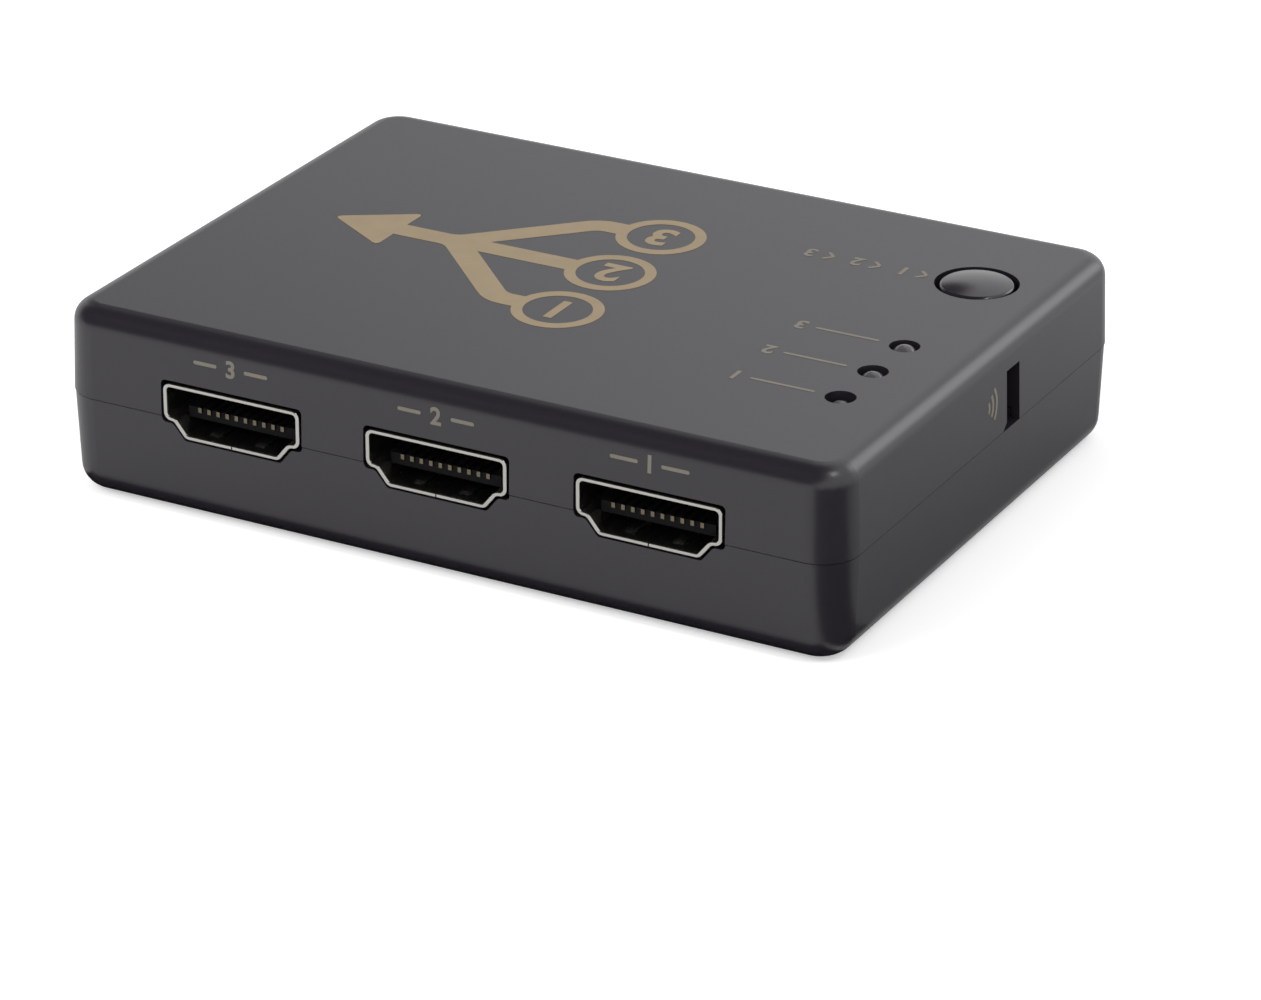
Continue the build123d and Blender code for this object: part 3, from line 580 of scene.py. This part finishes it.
class SWITCHBOX_OT_sockets(bpy.types.Operator):
    """Gives the sockets their plated shells, black inserts and gold contacts"""

    bl_idname = "switchbox.sockets"
    bl_label = "Sockets"

    def execute(self, context):
        metal = settings().metal
        nickel = rolled_metal("nickel_plated_brass_sheet", metal.nickel_colour, 0.2, 0.3)
        gold = rolled_metal("gold_plated_bronze_strip", metal.gold_colour, 0.18, 0.3, (1, 6, 1))
        black = settings().plastic.socket_colour
        insert = black_resin("black_liquid_crystal_polymer", black, 0.2 * MM, 0.6, 0.75)
        assign(nickel, *[f"{port}_shell" for port in PORTS])
        assign(insert, *[f"{port}_insulator" for port in PORTS])
        assign(gold, *[f"{port}_contacts" for port in PORTS])
        return {"FINISHED"}


class SWITCHBOX_OT_lamps(bpy.types.Operator):
    """Gives the lamps and the infrared receiver their cast epoxy"""

    bl_idname = "switchbox.lamps"
    bl_label = "Lamps and Receiver"

    def execute(self, context):
        lamps = settings().lamps
        assign(cast_epoxy("diffusing_lamp_epoxy", lamps.lens_colour, 0.15, 0.22), *LAMPS)
        assign(cast_epoxy("dark_receiver_epoxy", lamps.receiver_colour, 0.1, 0.15), "ir_receiver")
        return {"FINISHED"}


class SWITCHBOX_OT_electronics(bpy.types.Operator):
    """Gives the board, the parts on it and the switch under the button their finishes"""

    bl_idname = "switchbox.electronics"
    bl_label = "Board and Parts"

    def execute(self, context):
        board, plastic, metal = settings().board, settings().plastic, settings().metal
        colours = (board.mask_colour, board.track_colour)
        mask = solder_mask("lacquered_fibreglass", *colours, board.track_pitch)
        epoxy = black_resin("moulded_chip_epoxy", plastic.epoxy_colour, 0.12 * MM, 0.45, 0.6)
        nylon = black_resin("moulded_switch_nylon", plastic.socket_colour, 0.3 * MM, 0.35, 0.5)
        ceramic = black_resin("fired_tan_ceramic", plastic.ceramic_colour, 0.15 * MM, 0.4, 0.6)
        tin = rolled_metal("tinned_copper_strip", metal.tin_colour, 0.25, 0.4)
        steel = rolled_metal("plain_spring_steel", metal.steel_colour, 0.2, 0.32, (8, 1, 1))
        can = rolled_metal("drawn_aluminium_can", metal.can_colour, 0.22, 0.34, (8, 8, 1))
        leads = [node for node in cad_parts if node.endswith(("_leads", "_terminals"))]
        assign(mask, "circuit_board")
        assign(epoxy, "switch_chip", "controller_chip", "voltage_regulator")
        assign(epoxy, "resistors", "protection_arrays")
        assign(nylon, "switch_body", "switch_plunger")
        assign(ceramic, "ceramic_capacitors")
        assign(tin, *leads)
        assign(steel, "switch_plate", "switch_dome")
        assign(can, "crystal", "filter_capacitor")
        return {"FINISHED"}


class SWITCHBOX_OT_screws(bpy.types.Operator):
    """Gives the case screws their plating"""

    bl_idname = "switchbox.screws"
    bl_label = "Case Screws"

    def execute(self, context):
        colour = settings().metal.zinc_colour
        assign(rolled_metal("zinc_plated_steel", colour, 0.3, 0.45, (1, 1, 4)), "case_screws")
        return {"FINISHED"}


class SWITCHBOX_OT_ink(bpy.types.Operator):
    """Mixes the ink of the printed marks: the broad ink, and the same ink painted darker as shade
    for the thin marks
    """

    bl_idname = "switchbox.ink"
    bl_label = "Ink"

    def execute(self, context):
        marks = settings().marks
        pad_print(BROAD_INK, marks.ink_colour)
        pad_print(PAINTED_SHADE_INK, marks.fine_ink_colour)
        return {"FINISHED"}


class SWITCHBOX_OT_port_marks(bpy.types.Operator):
    """Prints a figure between two lines over each input, and plain signs over the sockets behind"""

    bl_idname = "switchbox.port_marks"
    bl_label = "Port Marks"

    label_height = 16.15 * MM
    label_width = 8.0 * MM
    line_gap = 1.0 * MM
    output_sign_height = 16.4 * MM
    output_sign_size = 1.7 * MM
    power_sign_rise = 4.2 * MM
    power_sign_length = 2.6 * MM
    power_sign_gap = 0.7 * MM
    reach = 100 * MM  # from where a ray looks for the front or back wall

    def execute(self, context):
        marks = settings().marks
        for number, port in enumerate(INPUTS, start=1):
            numeral = figure(f"{port}_figure", str(number), marks.port_figure)
            half = numeral.dimensions.x / 2 + self.line_gap
            length = self.label_width / 2 - half
            left = stroke("left", (-half, 0), 180, marks.thin_stroke, [("run", length)])
            right = stroke("right", (half, 0), 0, marks.thin_stroke, [("run", length)])
            mark = joined(f"{port}_mark", [numeral, left, right])
            point = Vector((middle(f"{port}_shell").x, -self.reach, self.label_height))
            print_on_case(mark, PAINTED_SHADE_INK, point, BACK, UP)
        self.print_output_sign()
        self.print_power_sign()
        return {"FINISHED"}

    def print_output_sign(self):
        """An arrow out of a short bar, over the output."""
        width = settings().marks.thin_stroke
        size = self.output_sign_size
        bar = stroke("bar", (-size, -size / 2), 90, width, [("run", size)])
        shaft = stroke("shaft", (-size / 2, 0), 0, width, [("run", size * 1.4)])
        head = arrow_head("head", (size * 1.3, 0), 0, length=size * 0.6, spread=size * 0.7)
        mark = joined("output_mark", [bar, shaft, head])
        point = Vector((middle("output_shell").x, self.reach, self.output_sign_height))
        print_on_case(mark, PAINTED_SHADE_INK, point, -BACK, UP)

    def print_power_sign(self):
        """A line over three dashes, the plain sign for direct current, over the power socket."""
        width = settings().marks.thin_stroke
        length, gap = self.power_sign_length, self.power_sign_gap
        dash = length / 4
        line = stroke("line", (-length / 2, gap / 2), 0, width, [("run", length)])
        starts = [(length - dash) * share / 2 - length / 2 for share in (0, 1, 2)]
        dashes = [stroke("dash", (start, -gap / 2), 0, width, [("run", dash)]) for start in starts]
        mark = joined("power_mark", [line, *dashes])
        port = middle("power_port_shell")
        point = Vector((port.x, self.reach, port.z + self.power_sign_rise))
        print_on_case(mark, PAINTED_SHADE_INK, point, -BACK, UP)


class SWITCHBOX_OT_top_marks(bpy.types.Operator):
    """Prints the large route mark, the figures beside the lamps and the sign before the button"""

    bl_idname = "switchbox.top_marks"
    bl_label = "Top Marks"

    route_place = (-14.6 * MM, 1.4 * MM)
    ring_column = -15.5 * MM
    ring_spacing = 10.2 * MM
    ring_radius = 4.4 * MM
    ring_wall = 1.1 * MM
    line_bend = 3.0 * MM
    line_straight = 1.6 * MM
    line_slope = 45
    trunk = 5.4 * MM
    arrow_length = 7.4 * MM
    arrow_spread = 9.0 * MM
    arrow_overlap = 1.0 * MM
    lamp_line_reach = 10.6 * MM
    lamp_line_start = 1.5 * MM
    lamp_line_end = 2.6 * MM
    turn_step = 4.9 * MM
    chevron_size = 1.2 * MM
    turn_place = (-12.3 * MM, -0.6 * MM)

    def execute(self, context):
        self.print_route()
        self.print_lamp_figures()
        self.print_button_sign()
        return {"FINISHED"}

    def set_on_top(self, mark, x, y, ink=PAINTED_SHADE_INK):
        """Lays a mark on the top, where it reads from the back."""
        print_on_case(mark, ink, Vector((x, y, AWAY)), -UP, -BACK)

    def print_route(self):
        """Three numbered rings whose lines run together into one arrow."""
        marks = settings().marks
        straight, bend = self.line_straight, self.line_bend
        slope = math.radians(self.line_slope)
        climb = (self.ring_spacing - 2 * bend * (1 - math.cos(slope))) / math.sin(slope)
        reach = straight + 2 * bend * math.sin(slope) + climb * math.cos(slope)
        ring_middle = self.ring_radius - self.ring_wall / 2
        parts = []
        for number, row in enumerate((1, 0, -1), start=1):
            centre = (self.ring_column, row * self.ring_spacing)
            parts.append(arc("ring", centre, ring_middle, self.ring_wall, 0, 360, RING_STEPS))
            numeral = figure(f"route_figure_{number}", str(number), marks.route_figure)
            move_flat(numeral, centre)
            parts.append(numeral)
            turn = -self.line_slope * row
            slanted = [("bend", bend, turn), ("run", climb), ("bend", bend, -turn)]
            moves = [("run", straight), *slanted] if row else [("run", reach + self.trunk)]
            start = (centre[0] + ring_middle, centre[1])
            parts.append(stroke("line", start, 0, marks.route_stroke, moves, rounded=False))
        line_end = self.ring_column + self.ring_radius + reach + self.trunk
        tip = (line_end + self.arrow_length - self.arrow_overlap, 0)
        parts.append(arrow_head("arrow", tip, 0, self.arrow_length, self.arrow_spread))
        self.set_on_top(joined("route_mark", parts), *self.route_place, BROAD_INK)

    def print_lamp_figures(self):
        """A figure for each lamp, with a thin line from it to the lamp."""
        marks = settings().marks
        start = (-self.lamp_line_start, 0)
        length = self.lamp_line_reach - self.lamp_line_start - self.lamp_line_end
        for number, lamp in enumerate(LAMPS, start=1):
            numeral = figure(f"{lamp}_figure", str(number), marks.lamp_figure)
            line = stroke("line", start, 180, marks.thin_stroke, [("run", length)])
            mark = joined(f"{lamp}_mark", [numeral, line])
            place = middle(lamp)
            self.set_on_top(mark, place.x - self.lamp_line_reach, place.y)

    def print_button_sign(self):
        """The three figures in turn, with a chevron after each, before the button."""
        marks = settings().marks
        moves = [("run", self.chevron_size)]
        parts = []
        for number, place in ((3, self.turn_step), (2, 0), (1, -self.turn_step)):
            numeral = figure(f"turn_figure_{number}", str(number), marks.lamp_figure)
            move_flat(numeral, (place, 0))
            parts.append(numeral)
            point = (place - self.turn_step / 2, 0)
            for heading in (45, -45):
                parts.append(stroke("chevron", point, heading, marks.thin_stroke, moves))
        button = middle("select_button")
        right, back = self.turn_place
        self.set_on_top(joined("button_mark", parts), button.x + right, button.y + back)


class SWITCHBOX_OT_side_mark(bpy.types.Operator):
    """Prints three small arcs, as for waves, beside the infrared slot"""

    bl_idname = "switchbox.side_mark"
    bl_label = "Side Mark"

    wave_radii = (0.8 * MM, 1.6 * MM, 2.4 * MM)
    wave_start = -40
    wave_sweep = 80
    before_slot = 6.0 * MM
    height = 13.7 * MM

    def execute(self, context):
        width = settings().marks.thin_stroke
        bounds = (self.wave_start, self.wave_sweep, WAVE_STEPS)
        waves = [arc("wave", (0, 0), radius, width, *bounds) for radius in self.wave_radii]
        point = Vector((AWAY, middle("ir_receiver").y - self.before_slot, self.height))
        print_on_case(joined("receiver_mark", waves), PAINTED_SHADE_INK, point, -RIGHT, UP)
        return {"FINISHED"}


class SWITCHBOX_OT_stage(bpy.types.Operator):
    """Sets the floor, the cards that paint dark reflections and a contact shadow into gloss, the
    room's light, the lamps and the camera
    """

    bl_idname = "switchbox.stage"
    bl_label = "Studio"

    floor_radius = 3.0
    floor_depth = 0.02 * MM
    # The cards are painted reflections: darker than the lit table, and at the foot a painted contact
    # shadow.
    card_height = 0.3 * MM
    foot_height = 0.4 * MM
    dark_reach = 110 * MM  # of the dark card, to the right and forwards
    grey_reach = (100 * MM, 40 * MM)  # of the grey card, to the right and backwards
    cards_meet = 9 * MM  # behind the case's front
    foot_rim = 1.1 * MM  # of the foot card, before the case's front
    foot_end = 1 * MM  # of the foot card, short of the case's right side
    side_edges = (46, 64)  # degrees from the middle of the dark side
    corner_edges = (8, 16)  # degrees from the middle of the dark corner

    def execute(self, context):
        self.lay_floor()
        self.lay_cards()
        self.light_room()
        self.hang_lamps()
        self.set_camera()
        bpy.context.scene.view_settings.view_transform = "Standard"
        return {"FINISHED"}

    def lay_floor(self):
        """A wide table top, a hair under the case, with a shadow, and white to the camera."""
        stage = settings().stage
        start_clean()
        place = (0, 0, -self.floor_depth)
        bpy.ops.mesh.primitive_circle_add(
            vertices=64, radius=self.floor_radius, fill_type="NGON", location=place
        )
        floor = bpy.context.object
        floor.name = "table_top"
        finish = new_finish("pale_table_top", Roughness=0.9)
        finish.shader.inputs["Base Color"].default_value = stage.floor_colour
        tree = finish.tree
        seen = add_node(tree, "ShaderNodeLightPath", {}).outputs["Is Camera Ray"]
        inputs = {0: seen, 1: stage.floor_glow}
        glow = add_node(tree, "ShaderNodeMath", inputs, operation="MULTIPLY")
        light = add_node(tree, "ShaderNodeEmission", {"Strength": glow.outputs["Value"]})
        inputs = {0: finish.shader.outputs["BSDF"], 1: light.outputs[0]}
        both = add_node(tree, "ShaderNodeAddShader", inputs)
        output = next(node for node in tree.nodes if node.type == "OUTPUT_MATERIAL")
        tree.links.new(both.outputs[0], output.inputs["Surface"])
        floor.data.materials.append(finish.material)

    def lay_cards(self):
        """Two cards beside the right wall, dark and grey, that paint darker reflections of the
        table, and one that stands out at the foot and paints the case's contact shadow into
        reflections.
        """
        stage = settings().stage
        (left, front, _), (right, back, _) = CAD_BOX
        meet = front + self.cards_meet
        dark = ((right, front - self.dark_reach), (right + self.dark_reach, meet))
        grey = ((right, meet), (right + self.grey_reach[0], back + self.grey_reach[1]))
        foot = ((left, front - self.foot_rim), (right - self.foot_end, back))
        self.lay_card("dark_card", *dark, self.card_height, stage.dark_card, stage.dark_card)
        self.lay_card("painted_grey_reflection_card", *grey, self.card_height, stage.grey_near, stage.grey_far)
        self.lay_card("painted_contact_shadow_card", *foot, self.foot_height, stage.dark_card, stage.dark_card)

    def lay_card(self, name, low, high, height, near, far):
        """A card over the table, from corner to corner, that only gloss shows: a painted reflection,
        darker than the lit table under it.

        Its colour runs from near, at the front, to far.
        """
        start_clean()
        bpy.ops.mesh.primitive_plane_add(size=1)
        card = open_edit(name)
        bpy.ops.transform.resize(value=(high[0] - low[0], high[1] - low[1], 1))
        centre = ((low[0] + high[0]) / 2, (low[1] + high[1]) / 2, height)
        bpy.ops.transform.translate(value=centre)
        bpy.ops.object.mode_set(mode="OBJECT")
        finish = new_finish(name, Roughness=0.9)
        tree = finish.tree
        spot = add_node(tree, "ShaderNodeTexCoord", {}).outputs["Generated"]
        depth = add_node(tree, "ShaderNodeSeparateXYZ", {"Vector": spot}).outputs["Y"]
        set_input(finish, "Base Color", tint(finish, depth, near, far))
        card.data.materials.append(finish.material)
        for kind in ("camera", "diffuse", "transmission", "shadow"):
            setattr(card, f"visible_{kind}", False)

    def light_room(self):
        """The room: white to the camera, pale walls with unlit parts to gloss, and a plain fill."""
        stage = settings().stage
        world = bpy.data.worlds.new("studio_room")
        bpy.context.scene.world = world
        world.use_nodes = True
        tree = world.node_tree
        tree.nodes.clear()
        inputs = {
            0: self.dark_patch(tree, stage.dark_side, *self.side_edges),
            1: self.dark_patch(tree, stage.dark_corner, *self.corner_edges),
        }
        unlit = add_node(tree, "ShaderNodeMath", inputs, operation="MAXIMUM").outputs["Value"]
        walls = self.chosen(tree, unlit, stage.wall_light, stage.dark_light)
        path = add_node(tree, "ShaderNodeLightPath", {}).outputs
        strength = self.chosen(tree, path["Is Glossy Ray"], stage.fill_light, walls)
        for name in ("Is Camera Ray", "Is Transmission Ray"):
            strength = self.chosen(tree, path[name], strength, 1.0)
        room = add_node(tree, "ShaderNodeBackground", {"Strength": strength})
        room.inputs["Color"].default_value = (1, 1, 1, 1)
        add_node(tree, "ShaderNodeOutputWorld", {"Surface": room.outputs[0]})

    def dark_patch(self, tree, way, inner, outer):
        """A round patch of the room: 1 within its inner edge, 0 past its outer one, in degrees."""
        direction = add_node(tree, "ShaderNodeTexCoord", {}).outputs["Generated"]
        inputs = {0: direction, 1: Vector(way).normalized()}
        facing = add_node(tree, "ShaderNodeVectorMath", inputs, operation="DOT_PRODUCT")
        inputs = {
            "Value": facing.outputs["Value"],
            "From Min": math.cos(math.radians(outer)),
            "From Max": math.cos(math.radians(inner)),
        }
        patch = add_node(tree, "ShaderNodeMapRange", inputs, interpolation_type="SMOOTHSTEP")
        return patch.outputs["Result"]

    def chosen(self, tree, switch, off, on):
        """A level between two, by a switch from 0 to 1."""
        inputs = {"Value": switch, "To Min": off, "To Max": on}
        return add_node(tree, "ShaderNodeMapRange", inputs).outputs["Result"]

    def hang_lamps(self):
        """A broad lamp before the case, which gloss doesn't show, and two that light its edges."""
        lamp = self.hang_lamp("front_lamp", (-0.30, -0.40, 0.45), (0, 0, 0.01), 0.35, 1.8)
        lamp.visible_glossy = False
        self.hang_lamp("corner_lamp", (0.33, -0.10, 0.51), (0.04, -0.03, 0.01), 0.08, 0.45)
        self.hang_lamp("back_lamp", (0.29, 0.48, 0.27), (0.04, 0, 0.01), 0.3, 0.55)

    def hang_lamp(self, name, place, target, size, power):
        """A square softbox that faces its target."""
        start_clean()
        bpy.ops.object.light_add(type="AREA", location=place)
        lamp = bpy.context.object
        lamp.name = name
        lamp.data.shape = "SQUARE"
        lamp.data.size = size
        lamp.data.energy = power
        lamp.rotation_euler = (Vector(target) - Vector(place)).to_track_quat("-Z", "Y").to_euler()
        return lamp

    def set_camera(self):
        """The camera at the photograph's place, with its long lens."""
        stage = settings().stage
        sideways, lift = stage.azimuth, stage.elevation
        right = Vector((math.cos(sideways), math.sin(sideways), 0))
        level = Vector((math.sin(sideways), -math.cos(sideways), 0))
        back = level * math.cos(lift) + UP * math.sin(lift)
        up = back.cross(right)
        target = right * stage.target_right - up * stage.target_down + UP * stage.target_height
        start_clean()
        bpy.ops.object.camera_add(location=target + back * stage.distance)
        camera = bpy.context.object
        camera.rotation_euler = (-back).to_track_quat("-Z", "Y").to_euler()
        camera.data.lens = camera.data.sensor_width * stage.focal_pixels / stage.picture_width
        camera.data.clip_start = 0.01
        bpy.context.scene.camera = camera


class SWITCHBOX_PT_panel(bpy.types.Panel):
    """Lists the steps that finish the switch box"""

    bl_idname = "SWITCHBOX_PT_panel"
    bl_label = "Switch Box"
    bl_space_type = "VIEW_3D"
    bl_region_type = "UI"
    bl_category = "Switch Box"

    def draw(self, context):
        for group in ("plastic", "metal", "marks", "lamps", "board", "stage"):
            chosen = getattr(context.scene.switch_box, group)
            box = self.layout.box()
            box.label(text=group.title())
            for name in chosen.__annotations__:
                box.prop(chosen, name)
        for operator in OPERATORS:
            self.layout.operator(operator.bl_idname)


GROUPS = (PlasticSettings, MetalSettings, MarkSettings, LampSettings, BoardSettings, StageSettings)
OPERATORS = (
    SWITCHBOX_OT_case,
    SWITCHBOX_OT_sockets,
    SWITCHBOX_OT_lamps,
    SWITCHBOX_OT_electronics,
    SWITCHBOX_OT_screws,
    SWITCHBOX_OT_ink,
    SWITCHBOX_OT_port_marks,
    SWITCHBOX_OT_top_marks,
    SWITCHBOX_OT_side_mark,
    SWITCHBOX_OT_stage,
)
CLASSES = (*GROUPS, SwitchBoxSettings, *OPERATORS, SWITCHBOX_PT_panel)


def register():
    """Registers every class and hangs the settings on the scene."""
    for cls in CLASSES:
        bpy.utils.register_class(cls)
    bpy.types.Scene.switch_box = PointerProperty(type=SwitchBoxSettings)


def unregister():
    """Undoes what register does, in reverse."""
    del bpy.types.Scene.switch_box
    for cls in reversed(CLASSES):
        bpy.utils.unregister_class(cls)


def main():
    """Registers the add-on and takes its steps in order."""
    register()
    for operator in OPERATORS:
        group, step = operator.bl_idname.split(".")
        getattr(getattr(bpy.ops, group), step)()


if __name__ == "__main__":
    main()
